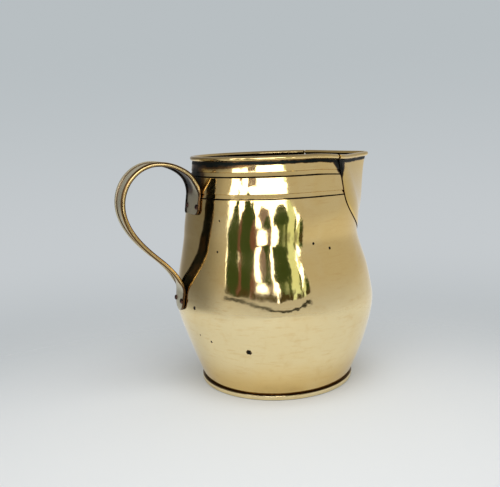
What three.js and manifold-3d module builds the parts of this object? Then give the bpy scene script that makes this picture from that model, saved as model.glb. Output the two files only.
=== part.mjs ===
// Ale jug of sheet brass: a round-bellied body with a rolled rim, a folded spout, a riveted strap handle
// Millimetres, +Z up, spout towards +X, handle towards -X, origin on the body's axis at its underside
import * as THREE from 'three';
import { mergeVertices } from 'three/addons/utils/BufferGeometryUtils.js';
import Module from 'manifold-3d';

const wasm = await Module();
wasm.setup();

// Sheet, wire and clearance
const sheet = 0.7;
const baseSheet = 0.8;
const wireRadius = 0.75;
const gap = 0.3;
const overrun = 6;

// Body of revolution
const rimHeight = 180;
const footRadius = 58.7;
const bellyRadius = 79;
const bellyHeight = 66;
const waistRadius = 69.2;
const waistHeight = 120;
const mouthRadius = 61.2;
const footSlope = 0.42;
const waistSlope = -0.03;
const mouthSlope = -0.2;
const footPullShare = 0.48;
const bellyUnderPullShare = 0.22;
const bellyOverPullShare = 0.26;
const waistUnderPullShare = 0.26;
const waistOverPullShare = 0.35;
const mouthPullShare = 0.26;

// Swaged lines round the neck, each a sharp groove under a slanted strip
const grooveDrops = [29.9, 14.5];
const grooveWidth = 0.9;
const grooveDepth = 0.6;
const stripHeight = 3.2;
const stripStep = 0.35;
const stepRise = 0.3;
const grooveHeights = grooveDrops.map((drop) => rimHeight - drop);

// Rolled edges over the wires, and where the rolled rim lies on the sheet
const rimRollOffset = 0.4;
const hollowRadius = wireRadius + gap;
const rollRadius = hollowRadius + sheet;
const rollHeight = rimHeight - rollRadius;

// Foot: the body's hem, gripped by the folded edge of the base
const footHem = 2 * sheet;
const footGrip = 0.4;
const hemBottom = baseSheet + gap;
const hemTop = hemBottom + footHem;
const ringHeight = hemTop + gap + baseSheet;

// Spout: a sheet lapped round the neck and folded to a ridge, set a little round from the handle's far side
const spoutTurn = THREE.MathUtils.degToRad(-12);
const spoutReach = 78.6;
const spoutLapAngle = THREE.MathUtils.degToRad(47.8);
const spoutSideDrop = 26.5;
const spoutPointDrop = 68;
const spoutOutlinePower = 1.3;
const noseRadius = 3;
const ridgeTopSlope = 0.37;
const ridgeTopPull = 12.5;
const chinBulge = 5.6;
const chinRise = 31;
const swellShare = 0.9;
const pourAngle = THREE.MathUtils.degToRad(32);
const pourPointRise = 14;
const rimJointAngle = THREE.MathUtils.degToRad(1);
const normalStepAngle = THREE.MathUtils.degToRad(0.3);
const spoutSideHeight = rimHeight - spoutSideDrop;
const spoutPointHeight = rimHeight - spoutPointDrop;

// Strap handle: its centre line seen from the side, as reach from the axis and height
const handleTopReach = 94.6;
const handleTopDrop = 3.6;
const handleTopHeight = rimHeight - handleTopDrop;
const handleReach = 120.9;
const handleReachHeight = 147.5;
const handleTurnReach = 97.2;
const handleTurnHeight = 107.2;
const handleTurnAngle = THREE.MathUtils.degToRad(43);
const upperEndDrop = 42.2;
const upperEndHeight = rimHeight - upperEndDrop;
const upperSeatLength = 13.2;
const upperLeaveHeight = upperEndHeight + upperSeatLength;
const lowerEndHeight = 64.4;
const lowerSeatLength = 13.6;
const lowerLeaveHeight = lowerEndHeight + lowerSeatLength;
const upperPull = 15;
const topInnerPull = 16;
const topOuterPull = 14;
const sideUpperPull = 16;
const sideLowerPull = 16;
const turnUpperPull = 16;
const turnLowerPull = 14;
const lowerPull = 12;

// Strap handle: widths, sideways lean, rounded corners, and the ends where its rolls are hammered down
const upperStrapWidth = 27.3;
const lowerStrapWidth = 20.5;
const taperPower = 3;
const upperLean = 4.8;
const lowerLean = 1.4;
const upperCorner = 4;
const lowerCorner = 7;
const upperPlateLength = 14;
const lowerPlateLength = 17;
const openingLength = 8;
const wrapFade = 14;
const flatRollRadius = 0.9;
const wireEndInset = 1.5;

// Rivets
const shankRadius = 1.2;
const headRadius = 2.2;
const headHeight = 1.2;
const tailRadius = 2;
const tailHeight = 0.8;
const upperRivetRise = 5.7;
const upperRivetOffset = 9.4;
const lowerRivetRise = 7.8;
const lowerRivetOffset = 6.7;
const upperRivetHeight = upperEndHeight + upperRivetRise;
const lowerRivetHeight = lowerEndHeight + lowerRivetRise;

// Facet counts
const turnSteps = 48;
const footSteps = 6;
const shoulderSteps = 7;
const neckSteps = 3;
const rollOuterSteps = 7;
const rollInnerSteps = 5;
const wireSides = 6;
const spoutColumns = 12;
const columnPower = 1.6;
const spoutRows = 8;
const outlineSteps = 9;
const webSteps = 4;
const loopSteps = 9;
const crowdPower = 1.4;
const plateSteps = 3;
const cornerSteps = 3;
const rivetSides = 16;
const domeSteps = 4;
const halvings = 40;

const lerp = THREE.MathUtils.lerp;

// Materials
const brass = { color: 0xb99a55, roughness: 0.25, metalness: 1 };
const oldCopper = { color: 0x7a4a34, roughness: 0.45, metalness: 1 };
const ironWire = { color: 0x4c4743, roughness: 0.6, metalness: 1 };

// Copy of a geometry with its places only and its shared vertices merged
function merge(geometry) {
  const bare = geometry.clone();
  bare.deleteAttribute('normal');
  bare.deleteAttribute('uv');
  return mergeVertices(bare);
}

// Turns a geometry into a solid
function toSolid(geometry) {
  const merged = merge(geometry);
  return new wasm.Manifold(new wasm.Mesh({
    numProp: 3,
    vertProperties: new Float32Array(merged.attributes.position.array),
    triVerts: new Uint32Array(merged.index.array),
  }));
}

// Turns a solid back into a geometry
function toGeometry(solid) {
  const mesh = solid.getMesh();
  const geometry = new THREE.BufferGeometry();
  geometry.setAttribute('position', new THREE.BufferAttribute(mesh.vertProperties, 3));
  geometry.setIndex(new THREE.BufferAttribute(mesh.triVerts, 1));
  geometry.computeVertexNormals();
  return geometry;
}

// Cuts every tool out of a geometry
function cut(geometry, tools) {
  const parts = tools.map(toSolid);
  const solid = parts.reduce((left, tool) => left.subtract(tool), toSolid(geometry));
  return toGeometry(solid);
}

// Volume under a list of triangles, negative where the faces point inwards
function signedVolume(points, triangles) {
  let volume = 0;
  for (const [a, b, c] of triangles) {
    volume += points[a].dot(points[b].clone().cross(points[c]));
  }
  return volume;
}

// Triangles that close a flat outline, wound the way its points run
function capTriangles(outline) {
  const turn = Math.sign(THREE.ShapeUtils.area(outline));
  return THREE.ShapeUtils.triangulateShape(outline, []).map(([a, b, c]) => {
    const own = Math.sign(THREE.ShapeUtils.area([outline[a], outline[b], outline[c]]));
    return own === turn ? [a, b, c] : [a, c, b];
  });
}

// Closed body through rings of points, with flat ends drawn by the two end outlines
function loft(rings, firstOutline, lastOutline) {
  const count = rings[0].length;
  const points = rings.flat();
  const triangles = [];
  for (let ring = 0; ring + 1 < rings.length; ring += 1) {
    for (let i = 0; i < count; i += 1) {
      const a = ring * count + i;
      const b = ring * count + (i + 1) % count;
      triangles.push([a, b, b + count], [a, b + count, a + count]);
    }
  }
  const last = (rings.length - 1) * count;
  triangles.push(...capTriangles(firstOutline).map(([a, b, c]) => [a, c, b]));
  triangles.push(...capTriangles(lastOutline).map(([a, b, c]) => [last + a, last + b, last + c]));
  const flip = signedVolume(points, triangles) < 0;
  const geometry = new THREE.BufferGeometry().setFromPoints(points);
  geometry.setIndex(triangles.flatMap(([a, b, c]) => (flip ? [a, c, b] : [a, b, c])));
  geometry.computeVertexNormals();
  return geometry;
}

// Body turned about +Z from an outline of radius and height
function turned(outline, steps) {
  const merged = merge(new THREE.LatheGeometry(outline, steps).rotateX(Math.PI / 2));
  const index = [...merged.index.array];
  const triangles = [];
  for (let i = 0; i < index.length; i += 3) {
    const [a, b, c] = index.slice(i, i + 3);
    if (a !== b && b !== c && c !== a) triangles.push([a, b, c]);
  }
  const position = merged.attributes.position;
  const points = Array.from({ length: position.count }, (_, i) => (
    new THREE.Vector3().fromBufferAttribute(position, i)));
  const flip = signedVolume(points, triangles) < 0;
  merged.setIndex(triangles.flatMap(([a, b, c]) => (flip ? [a, c, b] : [a, b, c])));
  merged.computeVertexNormals();
  return merged;
}

// Arc of points in a plane, both ends included
function arc(centre, radius, from, to, steps) {
  return Array.from({ length: steps + 1 }, (_, i) => {
    const angle = lerp(from, to, i / steps);
    const point = new THREE.Vector2(Math.cos(angle), Math.sin(angle));
    return point.multiplyScalar(radius).add(centre);
  });
}

// Outer profile of the body, from the foot over the belly and the waist to the mouth
const footPoint = new THREE.Vector2(footRadius, hemBottom);
const bellyPoint = new THREE.Vector2(bellyRadius, bellyHeight);
const waistPoint = new THREE.Vector2(waistRadius, waistHeight);
const mouthPoint = new THREE.Vector2(mouthRadius, rollHeight);

function profilePiece(low, high, lowSlope, highSlope, lowPullShare, highPullShare) {
  const lowPull = (high.y - low.y) * lowPullShare;
  const highPull = (high.y - low.y) * highPullShare;
  return new THREE.CubicBezierCurve(
    low,
    new THREE.Vector2(low.x + lowSlope * lowPull, low.y + lowPull),
    new THREE.Vector2(high.x - highSlope * highPull, high.y - highPull),
    high,
  );
}

const profilePieces = [
  profilePiece(footPoint, bellyPoint, footSlope, 0, footPullShare, bellyUnderPullShare),
  profilePiece(bellyPoint, waistPoint, 0, waistSlope, bellyOverPullShare, waistUnderPullShare),
  profilePiece(waistPoint, mouthPoint, waistSlope, mouthSlope, waistOverPullShare, mouthPullShare),
];

// Where a curve of radius and height that only rises passes a height, found by halving
function radiusAt(curve, height) {
  let low = 0;
  let high = 1;
  for (let i = 0; i < halvings; i += 1) {
    const middle = (low + high) / 2;
    if (curve.getPoint(middle).y < height) low = middle;
    else high = middle;
  }
  return curve.getPoint(low).x;
}

// Radius of the plain outer profile at a height
function bodyRadius(height) {
  return radiusAt(profilePieces.find((curve) => height <= curve.v3.y) ?? profilePieces.at(-1), height);
}

// Tilt of the outward normal above level, from two nearby radii
function bodyTilt(height) {
  const reach = grooveWidth;
  return Math.atan((bodyRadius(height - reach) - bodyRadius(height + reach)) / (2 * reach));
}

// Rolled edge: the sheet arrives along the first axis, curls over the wire and stops short of itself
// offset is how far the roll's centre lies off the sheet's middle, towards the curl's free end
function rolledEdge(offset, radius) {
  const hollow = radius - sheet;
  const angleAt = (height, reach) => Math.asin(THREE.MathUtils.clamp(height / reach, -1, 1));
  const start = Math.PI + angleAt(sheet / 2 + offset, radius);
  const end = 3 * Math.PI - angleAt(sheet / 2 - offset + gap, hollow);
  const finish = Math.PI - angleAt(sheet / 2 - offset, hollow);
  const centre = new THREE.Vector2(0, 0);
  return [
    ...arc(centre, radius, start, end, rollOuterSteps),
    ...arc(centre, hollow, end, finish, rollInnerSteps),
  ];
}

// Stations of the wall as height and sink, with three or five more at each swaged line
function wallStations(withStrips) {
  const steps = [footSteps, shoulderSteps, neckSteps];
  const clear = (z) => grooveHeights.every((line) => z < line - stripHeight || z > line + 2 * stripHeight);
  const plain = profilePieces
    .flatMap((piece, i) => piece.getPoints(steps[i]).slice(0, -1).map((point) => point.y))
    .filter((z) => z > hemTop && clear(z))
    .map((z) => [z, 0]);
  const swaged = grooveHeights.flatMap((z) => {
    const groove = [[z - grooveWidth / 2, 0], [z, grooveDepth], [z + grooveWidth / 2, 0]];
    const strip = [[z + stripHeight, stripStep], [z + stripHeight + stepRise, 0]];
    return withStrips ? [...groove, ...strip] : groove;
  });
  return [...plain, ...swaged].sort((one, other) => one[0] - other[0]);
}

// Shell of the body before its cuts: inner face, rolled rim, outer face, foot hem
function bodyOutline() {
  const outer = wallStations(true).map(([z, sink]) => new THREE.Vector2(bodyRadius(z) - sink, z));
  const inner = wallStations(false).map(([z, sink]) => (
    new THREE.Vector2(bodyRadius(z) - sheet - sink, z)));
  const rollCentre = new THREE.Vector2(mouthRadius - sheet / 2 + rimRollOffset, rollHeight);
  const roll = rolledEdge(rimRollOffset, rollRadius)
    .map((point) => new THREE.Vector2(rollCentre.x + point.y, rollCentre.y + point.x));
  const hemRadius = bodyRadius(ringHeight) + gap + footGrip;
  const outline = [
    new THREE.Vector2(footRadius - sheet, hemBottom),
    ...inner,
    ...roll,
    ...outer.reverse(),
    new THREE.Vector2(bodyRadius(hemTop), hemTop),
    new THREE.Vector2(hemRadius, hemTop),
    new THREE.Vector2(hemRadius, hemBottom),
  ];
  return [...outline, outline[0].clone()];
}

// Half angle that the spout's sheet covers at a height
function outlineAngle(height, topAngle, pointHeight) {
  const share = Math.max(0, spoutSideHeight - height) / (spoutSideHeight - pointHeight);
  return topAngle * Math.cos(Math.PI / 2 * Math.min(1, share) ** spoutOutlinePower);
}

// Height of the sheet's lower edge at an angle
function outlineHeight(angle) {
  const turn = Math.acos(Math.min(1, Math.abs(angle) / spoutLapAngle));
  const share = (turn / (Math.PI / 2)) ** (1 / spoutOutlinePower);
  return spoutSideHeight - (spoutSideHeight - spoutPointHeight) * share;
}

// Inner face of the spout's ridge, seen from the side
const ridgeCurve = new THREE.CubicBezierCurve(
  new THREE.Vector2(bodyRadius(spoutPointHeight) + gap, spoutPointHeight),
  new THREE.Vector2(bodyRadius(spoutPointHeight) + gap + chinBulge, spoutPointHeight + chinRise),
  new THREE.Vector2(spoutReach - ridgeTopSlope * ridgeTopPull, rollHeight - ridgeTopPull),
  new THREE.Vector2(spoutReach, rollHeight),
);

// Inner face of the spout: two panels that leave the neck along its tangents and meet at a rounded nose
function spoutInner(angle, height) {
  const seat = bodyRadius(Math.min(height, rollHeight)) + gap;
  const ridge = Math.max(radiusAt(ridgeCurve, Math.min(height, rollHeight)), seat);
  const tangent = Math.acos(seat / ridge);
  const width = Math.min(tangent, outlineAngle(height, spoutLapAngle, spoutPointHeight) * swellShare);
  const soft = noseRadius / spoutReach;
  const round = (value) => Math.sqrt(value * value + soft * soft) - soft;
  const share = width > 0 ? Math.min(1, round(angle) / round(width)) : 1;
  const rise = 1 / Math.cos(tangent) - 1;
  const bulge = rise > 0 ? (1 / Math.cos(tangent * (1 - share)) - 1) / rise : 0;
  const radius = seat + (ridge - seat) * bulge;
  return new THREE.Vector3(radius * Math.cos(angle), radius * Math.sin(angle), height);
}

// Outward direction of the spout's wall in plan
function spoutNormal(angle, height) {
  const before = spoutInner(angle - normalStepAngle, height);
  const along = spoutInner(angle + normalStepAngle, height).sub(before);
  return new THREE.Vector3(along.y, -along.x, 0).normalize();
}

function spoutPoint(angle, height, outwards) {
  return spoutInner(angle, height).addScaledVector(spoutNormal(angle, height), outwards);
}

// Angles of the spout's columns, from even steps down its edge that grow shorter at the nose
function spoutAngles() {
  const half = Array.from({ length: spoutColumns }, (_, i) => {
    const share = 1 - ((i + 1) / spoutColumns) ** columnPower;
    const height = lerp(spoutSideHeight, spoutPointHeight, share);
    return outlineAngle(height, spoutLapAngle, spoutPointHeight);
  });
  return [...half.map((angle) => -angle).reverse(), 0, ...half];
}

// One column of the spout: up its inner face, round the rolled rim, down its outer face
function spoutColumn(angle) {
  const bottom = outlineHeight(angle);
  const rollStart = rollHeight - rollRadius;
  const heights = Array.from({ length: spoutRows + 1 }, (_, i) => lerp(bottom, rollStart, i / spoutRows));
  const inner = heights.map((z) => spoutPoint(angle, z, 0));
  const outer = heights.map((z) => spoutPoint(angle, z, sheet)).reverse();
  const middle = spoutPoint(angle, rollHeight, sheet / 2 + rimRollOffset);
  const normal = spoutNormal(angle, rollHeight);
  const roll = rolledEdge(rimRollOffset, rollRadius).map((point) => (
    middle.clone().addScaledVector(normal, point.y).add(new THREE.Vector3(0, 0, point.x))));
  return [...inner, ...roll, ...outer];
}

function columnOutline(angle) {
  const normal = spoutNormal(angle, rollHeight);
  return spoutColumn(angle).map((point) => new THREE.Vector2(point.dot(normal), point.z));
}

function spoutGeometry() {
  const angles = spoutAngles();
  return loft(angles.map(spoutColumn), columnOutline(angles[0]), columnOutline(angles.at(-1)));
}

// Opening in the neck behind the spout, cut straight through along X
function pourCut() {
  const pointHeight = spoutPointHeight + pourPointRise;
  const side = Array.from({ length: outlineSteps + 1 }, (_, i) => {
    const height = lerp(pointHeight, spoutSideHeight, i / outlineSteps);
    const angle = outlineAngle(height, pourAngle, pointHeight);
    return new THREE.Vector2(bodyRadius(height) * Math.sin(angle), height);
  });
  const top = rimHeight + overrun;
  const topCorner = new THREE.Vector2(side.at(-1).x, top);
  const right = [...side, topCorner];
  const left = right.slice(1).reverse().map((point) => new THREE.Vector2(-point.x, point.y));
  const shape = new THREE.Shape([...right, ...left]);
  const depth = Math.max(bellyRadius, waistRadius) + overrun;
  const geometry = new THREE.ExtrudeGeometry(shape, { depth, bevelEnabled: false });
  const axes = new THREE.Matrix4().makeBasis(
    new THREE.Vector3(0, 1, 0),
    new THREE.Vector3(0, 0, 1),
    new THREE.Vector3(1, 0, 0),
  );
  return geometry.applyMatrix4(axes);
}

// Wedge that ends the body's rolled rim beside the spout's own rim
function rimCut() {
  const reach = spoutReach + overrun;
  const spread = reach * Math.tan(spoutLapAngle + rimJointAngle);
  const shape = new THREE.Shape([
    new THREE.Vector2(0, 0),
    new THREE.Vector2(reach, -spread),
    new THREE.Vector2(reach, spread),
  ]);
  const bottom = rollHeight - rollRadius - gap;
  const depth = rimHeight + overrun - bottom;
  return new THREE.ExtrudeGeometry(shape, { depth, bevelEnabled: false }).translate(0, 0, bottom);
}

// Where a rivet passes the body's outer face, and how it is turned
function rivetMatrix(height, offset) {
  const radius = bodyRadius(height);
  const turn = Math.asin(offset / radius);
  const tilt = bodyTilt(height);
  const outwards = new THREE.Vector3(
    -Math.cos(turn) * Math.cos(tilt),
    Math.sin(turn) * Math.cos(tilt),
    Math.sin(tilt),
  );
  const position = new THREE.Vector3(-radius * Math.cos(turn), radius * Math.sin(turn), height);
  const rotation = new THREE.Quaternion().setFromUnitVectors(new THREE.Vector3(0, 0, 1), outwards);
  return new THREE.Matrix4().compose(position, rotation, new THREE.Vector3(1, 1, 1));
}

const rivets = {
  upper_rivet_left: rivetMatrix(upperRivetHeight, upperRivetOffset - upperLean),
  upper_rivet_right: rivetMatrix(upperRivetHeight, -upperRivetOffset - upperLean),
  lower_rivet_left: rivetMatrix(lowerRivetHeight, lowerRivetOffset - lowerLean),
  lower_rivet_right: rivetMatrix(lowerRivetHeight, -lowerRivetOffset - lowerLean),
};

function rivetHole(matrix) {
  const geometry = new THREE.CylinderGeometry(
    shankRadius + gap, shankRadius + gap, 2 * overrun, rivetSides,
  );
  return geometry.rotateX(Math.PI / 2).applyMatrix4(matrix);
}

// Rivet with a domed head outside, its shank through strap and body, and a peened tail inside
function rivetGeometry(strapStandOff) {
  const headSeat = strapStandOff + sheet / 2 + gap;
  const tailSeat = -sheet - gap;
  const dome = Array.from({ length: domeSteps + 1 }, (_, i) => {
    const angle = Math.PI / 2 * i / domeSteps;
    return new THREE.Vector2(headRadius * Math.cos(angle), headSeat + headHeight * Math.sin(angle));
  });
  return turned([
    new THREE.Vector2(0, tailSeat - tailHeight),
    new THREE.Vector2(shankRadius, tailSeat - tailHeight),
    new THREE.Vector2(tailRadius, tailSeat - tailHeight / 2),
    new THREE.Vector2(tailRadius, tailSeat),
    new THREE.Vector2(shankRadius, tailSeat),
    new THREE.Vector2(shankRadius, headSeat),
    ...dome.slice(0, -1),
    new THREE.Vector2(0, headSeat + headHeight),
  ], rivetSides);
}

// Base: a flat disc whose edge turns up and folds in over the body's foot hem
function baseOutline() {
  const lipRadius = bodyRadius(ringHeight) + gap;
  const wallRadius = lipRadius + footGrip + gap;
  const ringRadius = wallRadius + baseSheet;
  const bend = baseSheet;
  const lowCentre = new THREE.Vector2(ringRadius - bend, bend);
  const highCentre = new THREE.Vector2(ringRadius - bend, ringHeight - bend);
  return [
    new THREE.Vector2(0, 0),
    ...arc(lowCentre, bend, -Math.PI / 2, 0, cornerSteps),
    ...arc(highCentre, bend, 0, Math.PI / 2, cornerSteps),
    new THREE.Vector2(lipRadius, ringHeight),
    new THREE.Vector2(lipRadius, ringHeight - baseSheet),
    new THREE.Vector2(wallRadius, ringHeight - baseSheet),
    new THREE.Vector2(wallRadius, baseSheet),
    new THREE.Vector2(0, baseSheet),
  ];
}

// Round wire through a list of frames, each with a centre and two cross directions
function wireGeometry(frames) {
  const section = arc(new THREE.Vector2(0, 0), wireRadius, 0, 2 * Math.PI, wireSides).slice(0, -1);
  const rings = frames.map(({ centre, across, upwards }) => section.map((point) => (
    centre.clone().addScaledVector(across, point.x).addScaledVector(upwards, point.y))));
  return loft(rings, section, section);
}

// Wire in the body's rim, stopping short of the rim's two ends
function rimWireGeometry() {
  const radius = mouthRadius - sheet / 2 + rimRollOffset;
  const start = spoutLapAngle + rimJointAngle + wireEndInset / radius;
  const steps = Math.round(turnSteps * (1 - start / Math.PI));
  const upwards = new THREE.Vector3(0, 0, 1);
  return wireGeometry(Array.from({ length: steps + 1 }, (_, i) => {
    const angle = lerp(start, 2 * Math.PI - start, i / steps);
    const across = new THREE.Vector3(Math.cos(angle), Math.sin(angle), 0);
    const centre = across.clone().multiplyScalar(radius).setZ(rollHeight);
    return { centre, across, upwards };
  }));
}

// Wire in the spout's rim
function spoutWireGeometry() {
  const inset = 1 - wireEndInset / (spoutLapAngle * mouthRadius);
  const upwards = new THREE.Vector3(0, 0, 1);
  return wireGeometry(spoutAngles().map((angle) => {
    const place = angle * (Math.abs(angle) < spoutLapAngle * inset ? 1 : inset);
    const centre = spoutPoint(place, rollHeight, sheet / 2 + rimRollOffset);
    return { centre, across: spoutNormal(place, rollHeight), upwards };
  }));
}

// How far the strap's middle stands off the body: its rolls turn away from the neck but face the belly
const upperStandOff = gap + sheet / 2;
const lowerStandOff = gap + 2 * flatRollRadius - sheet / 2;

function standOff(height) {
  const share = THREE.MathUtils.smoothstep(height, lowerLeaveHeight, upperLeaveHeight);
  return lerp(lowerStandOff, upperStandOff, share);
}

// Point of the strap's middle where it lies on the body
function seatPoint(height) {
  return new THREE.Vector2(-bodyRadius(height) - standOff(height), height);
}

function seatDirection(height) {
  return new THREE.Vector2(Math.tan(bodyTilt(height)), 1).normalize();
}

// Stations of a seated end, closer together over its rounded corners
function seatHeights(endHeight, leaveHeight, corner) {
  const cornerHeight = endHeight + Math.sign(leaveHeight - endHeight) * corner;
  const round = Array.from({ length: cornerSteps }, (_, i) => (
    lerp(cornerHeight, endHeight, Math.cos(Math.PI / 2 * i / cornerSteps))));
  const plate = Array.from({ length: plateSteps + 1 }, (_, i) => (
    lerp(cornerHeight, leaveHeight, i / plateSteps)));
  return [...round, ...plate];
}

// How much a rounded corner takes off the strap's half width at a distance from its end
function cornerLoss(fromEnd, corner) {
  const inCorner = Math.max(0, corner - fromEnd);
  return corner - Math.sqrt(corner ** 2 - inCorner ** 2);
}

// Free loop of the strap, from where it leaves the neck to where it meets the belly
function loopCurves() {
  const top = new THREE.Vector2(-handleTopReach, handleTopHeight);
  const side = new THREE.Vector2(-handleReach, handleReachHeight);
  const turn = new THREE.Vector2(-handleTurnReach, handleTurnHeight);
  const turnWay = new THREE.Vector2(Math.cos(handleTurnAngle), -Math.sin(handleTurnAngle));
  const upper = seatPoint(upperLeaveHeight);
  const lower = seatPoint(lowerLeaveHeight);
  const upperWay = seatDirection(upperLeaveHeight);
  const lowerWay = seatDirection(lowerLeaveHeight);
  const step = (from, way, pull) => from.clone().addScaledVector(way, pull);
  const left = new THREE.Vector2(-1, 0);
  const up = new THREE.Vector2(0, 1);
  return [
    new THREE.CubicBezierCurve(
      upper, step(upper, upperWay, upperPull), step(top, left, -topInnerPull), top,
    ),
    new THREE.CubicBezierCurve(
      top, step(top, left, topOuterPull), step(side, up, sideUpperPull), side,
    ),
    new THREE.CubicBezierCurve(
      side, step(side, up, -sideLowerPull), step(turn, turnWay, -turnUpperPull), turn,
    ),
    new THREE.CubicBezierCurve(
      turn, step(turn, turnWay, turnLowerPull), step(lower, lowerWay, lowerPull), lower,
    ),
  ];
}

// Centre line of the whole strap as a list of points
function strapLine() {
  const upper = seatHeights(upperEndHeight, upperLeaveHeight, upperCorner).map(seatPoint);
  const lower = seatHeights(lowerEndHeight, lowerLeaveHeight, lowerCorner).map(seatPoint).reverse();
  const [leaving, over, under, landing] = loopCurves();
  const crowded = Array.from({ length: loopSteps }, (_, i) => ((i + 1) / loopSteps) ** crowdPower);
  const loop = [
    ...crowded.map((share) => leaving.getPoint(share)),
    ...over.getPoints(loopSteps).slice(1),
    ...under.getPoints(loopSteps).slice(1),
    ...crowded.map((share) => landing.getPoint(1 - share)).reverse(),
    landing.v3,
  ];
  return [...upper, ...loop.slice(0, -1), ...lower];
}

// Stations of the strap: place, direction, lean, half width, roll and how far it wraps the body
function strapStations() {
  const line = strapLine();
  const lengths = [0];
  for (let i = 1; i < line.length; i += 1) {
    lengths.push(lengths[i - 1] + line[i].distanceTo(line[i - 1]));
  }
  const total = lengths.at(-1);
  const smooth = THREE.MathUtils.smoothstep;
  const upperSeat = upperLeaveHeight - upperEndHeight;
  const lowerSeat = lowerLeaveHeight - lowerEndHeight;
  return line.map((point, i) => {
    const before = line[Math.max(0, i - 1)];
    const after = line[Math.min(line.length - 1, i + 1)];
    const way = after.clone().sub(before).normalize();
    const fromUpper = lengths[i];
    const fromLower = total - lengths[i];
    const rolled = Math.min(
      smooth(fromUpper, upperPlateLength, upperPlateLength + openingLength),
      smooth(fromLower, lowerPlateLength, lowerPlateLength + openingLength),
    );
    const wrap = Math.max(
      1 - smooth(fromUpper, upperSeat, upperSeat + wrapFade),
      1 - smooth(fromLower, lowerSeat, lowerSeat + wrapFade),
    );
    const share = fromUpper / total;
    const width = lerp(upperStrapWidth, lowerStrapWidth, share ** taperPower);
    const radius = lerp(flatRollRadius, rollRadius, rolled);
    const lost = cornerLoss(fromUpper, upperCorner) + cornerLoss(fromLower, lowerCorner);
    return {
      point,
      out: new THREE.Vector2(way.y, -way.x),
      lean: lerp(upperLean, lowerLean, share),
      half: width / 2 - radius - lost,
      radius,
      offset: lerp(flatRollRadius - sheet / 2, 0, rolled),
      rolled,
      wrap,
      seatRadius: bodyRadius(point.y) + standOff(point.y),
    };
  });
}

// Section of the strap across its width: outer face, rolled edge, inner face, rolled edge
function strapSection({ half, radius, offset }) {
  const edge = rolledEdge(offset, radius);
  const reach = half + edge[0].x;
  const returnReach = half + edge.at(-1).x;
  const shares = Array.from({ length: webSteps - 1 }, (_, i) => 2 * (i + 1) / webSteps - 1);
  const face = (width, out) => shares.map((share) => new THREE.Vector2(width * share, out));
  return [
    ...face(reach, sheet / 2),
    ...edge.map((point) => new THREE.Vector2(half + point.x, -point.y - offset)),
    ...face(returnReach, -sheet / 2).reverse(),
    ...edge.map((point) => new THREE.Vector2(-half - point.x, -point.y - offset)).reverse(),
  ];
}

// A point of the section placed in space, bent round the body where the strap is seated
function placeOnStrap(station, across, out) {
  const { point, lean, wrap, seatRadius } = station;
  const side = across - lean;
  const sag = seatRadius - Math.sqrt(seatRadius ** 2 - side ** 2);
  return new THREE.Vector3(
    point.x + station.out.x * out + wrap * sag,
    side,
    point.y + station.out.y * out,
  );
}

const strap = strapStations();

function strapGeometry() {
  const rings = strap.map((station) => (
    strapSection(station).map((point) => placeOnStrap(station, point.x, point.y))));
  return loft(rings, strapSection(strap[0]), strapSection(strap.at(-1)));
}

// Wire in one rolled edge of the strap, only where the edge is fully rolled
function strapWireGeometry(side) {
  const frames = strap.filter((station) => station.rolled === 1).map((station) => ({
    centre: placeOnStrap(station, side * station.half, 0),
    across: new THREE.Vector3(0, 1, 0),
    upwards: new THREE.Vector3(station.out.x, 0, station.out.y),
  }));
  return wireGeometry(frames);
}

// The named pieces
const jug = new THREE.Group();

function add(name, geometry, look) {
  const mesh = new THREE.Mesh(geometry, new THREE.MeshStandardMaterial(look));
  mesh.name = name;
  jug.add(mesh);
  return mesh;
}

const holes = Object.values(rivets).map(rivetHole);
const openings = [pourCut(), rimCut()].map((geometry) => geometry.rotateZ(spoutTurn));
add('body', cut(turned(bodyOutline(), turnSteps), [...openings, ...holes]), brass);
add('rim_wire', rimWireGeometry().rotateZ(spoutTurn), ironWire);
add('spout', spoutGeometry().rotateZ(spoutTurn), brass);
add('spout_rim_wire', spoutWireGeometry().rotateZ(spoutTurn), ironWire);
add('base_plate', turned(baseOutline(), turnSteps), brass);
add('handle_strap', cut(strapGeometry(), holes), brass);
add('handle_wire_left', strapWireGeometry(1), ironWire);
add('handle_wire_right', strapWireGeometry(-1), ironWire);
for (const [name, matrix] of Object.entries(rivets)) {
  const strapStandOff = name.startsWith('upper') ? upperStandOff : lowerStandOff;
  add(name, rivetGeometry(strapStandOff), oldCopper).applyMatrix4(matrix);
}

export default jug;
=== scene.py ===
# An old brass ale jug on a pale floor: belly, wired rim, lapped spout, riveted strap handle and folded base
# Sizes are in millimetres and become metres where a mesh, a look or a light is made
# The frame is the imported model's own
import math

import bpy
import bmesh
import numpy as np
from mathutils import Matrix, Vector


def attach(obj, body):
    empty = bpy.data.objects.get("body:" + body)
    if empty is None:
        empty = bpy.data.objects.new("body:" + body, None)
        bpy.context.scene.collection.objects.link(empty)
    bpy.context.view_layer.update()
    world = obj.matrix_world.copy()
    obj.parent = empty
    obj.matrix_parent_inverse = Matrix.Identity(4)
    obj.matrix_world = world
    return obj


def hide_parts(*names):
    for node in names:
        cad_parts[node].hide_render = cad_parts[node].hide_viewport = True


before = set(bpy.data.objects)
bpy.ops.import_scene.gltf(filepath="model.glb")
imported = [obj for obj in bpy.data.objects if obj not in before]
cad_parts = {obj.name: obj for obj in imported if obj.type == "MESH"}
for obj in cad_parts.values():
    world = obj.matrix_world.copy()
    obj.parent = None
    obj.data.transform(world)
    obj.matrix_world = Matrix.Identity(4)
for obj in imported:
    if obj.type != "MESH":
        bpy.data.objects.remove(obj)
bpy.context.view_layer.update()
scene = bpy.context.scene
scene.view_settings.view_transform = "Standard"

# Camera: held a little above the rim, half a metre away, and turned to the handle's side of the spout.
mm = 0.001
camera_distance = 503.8
camera_height = 195.65
camera_side = math.radians(24)
camera_yaw = -0.036
camera_pitch = 0.1719
camera_roll = -0.0377
camera_lens = 45.58


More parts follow.
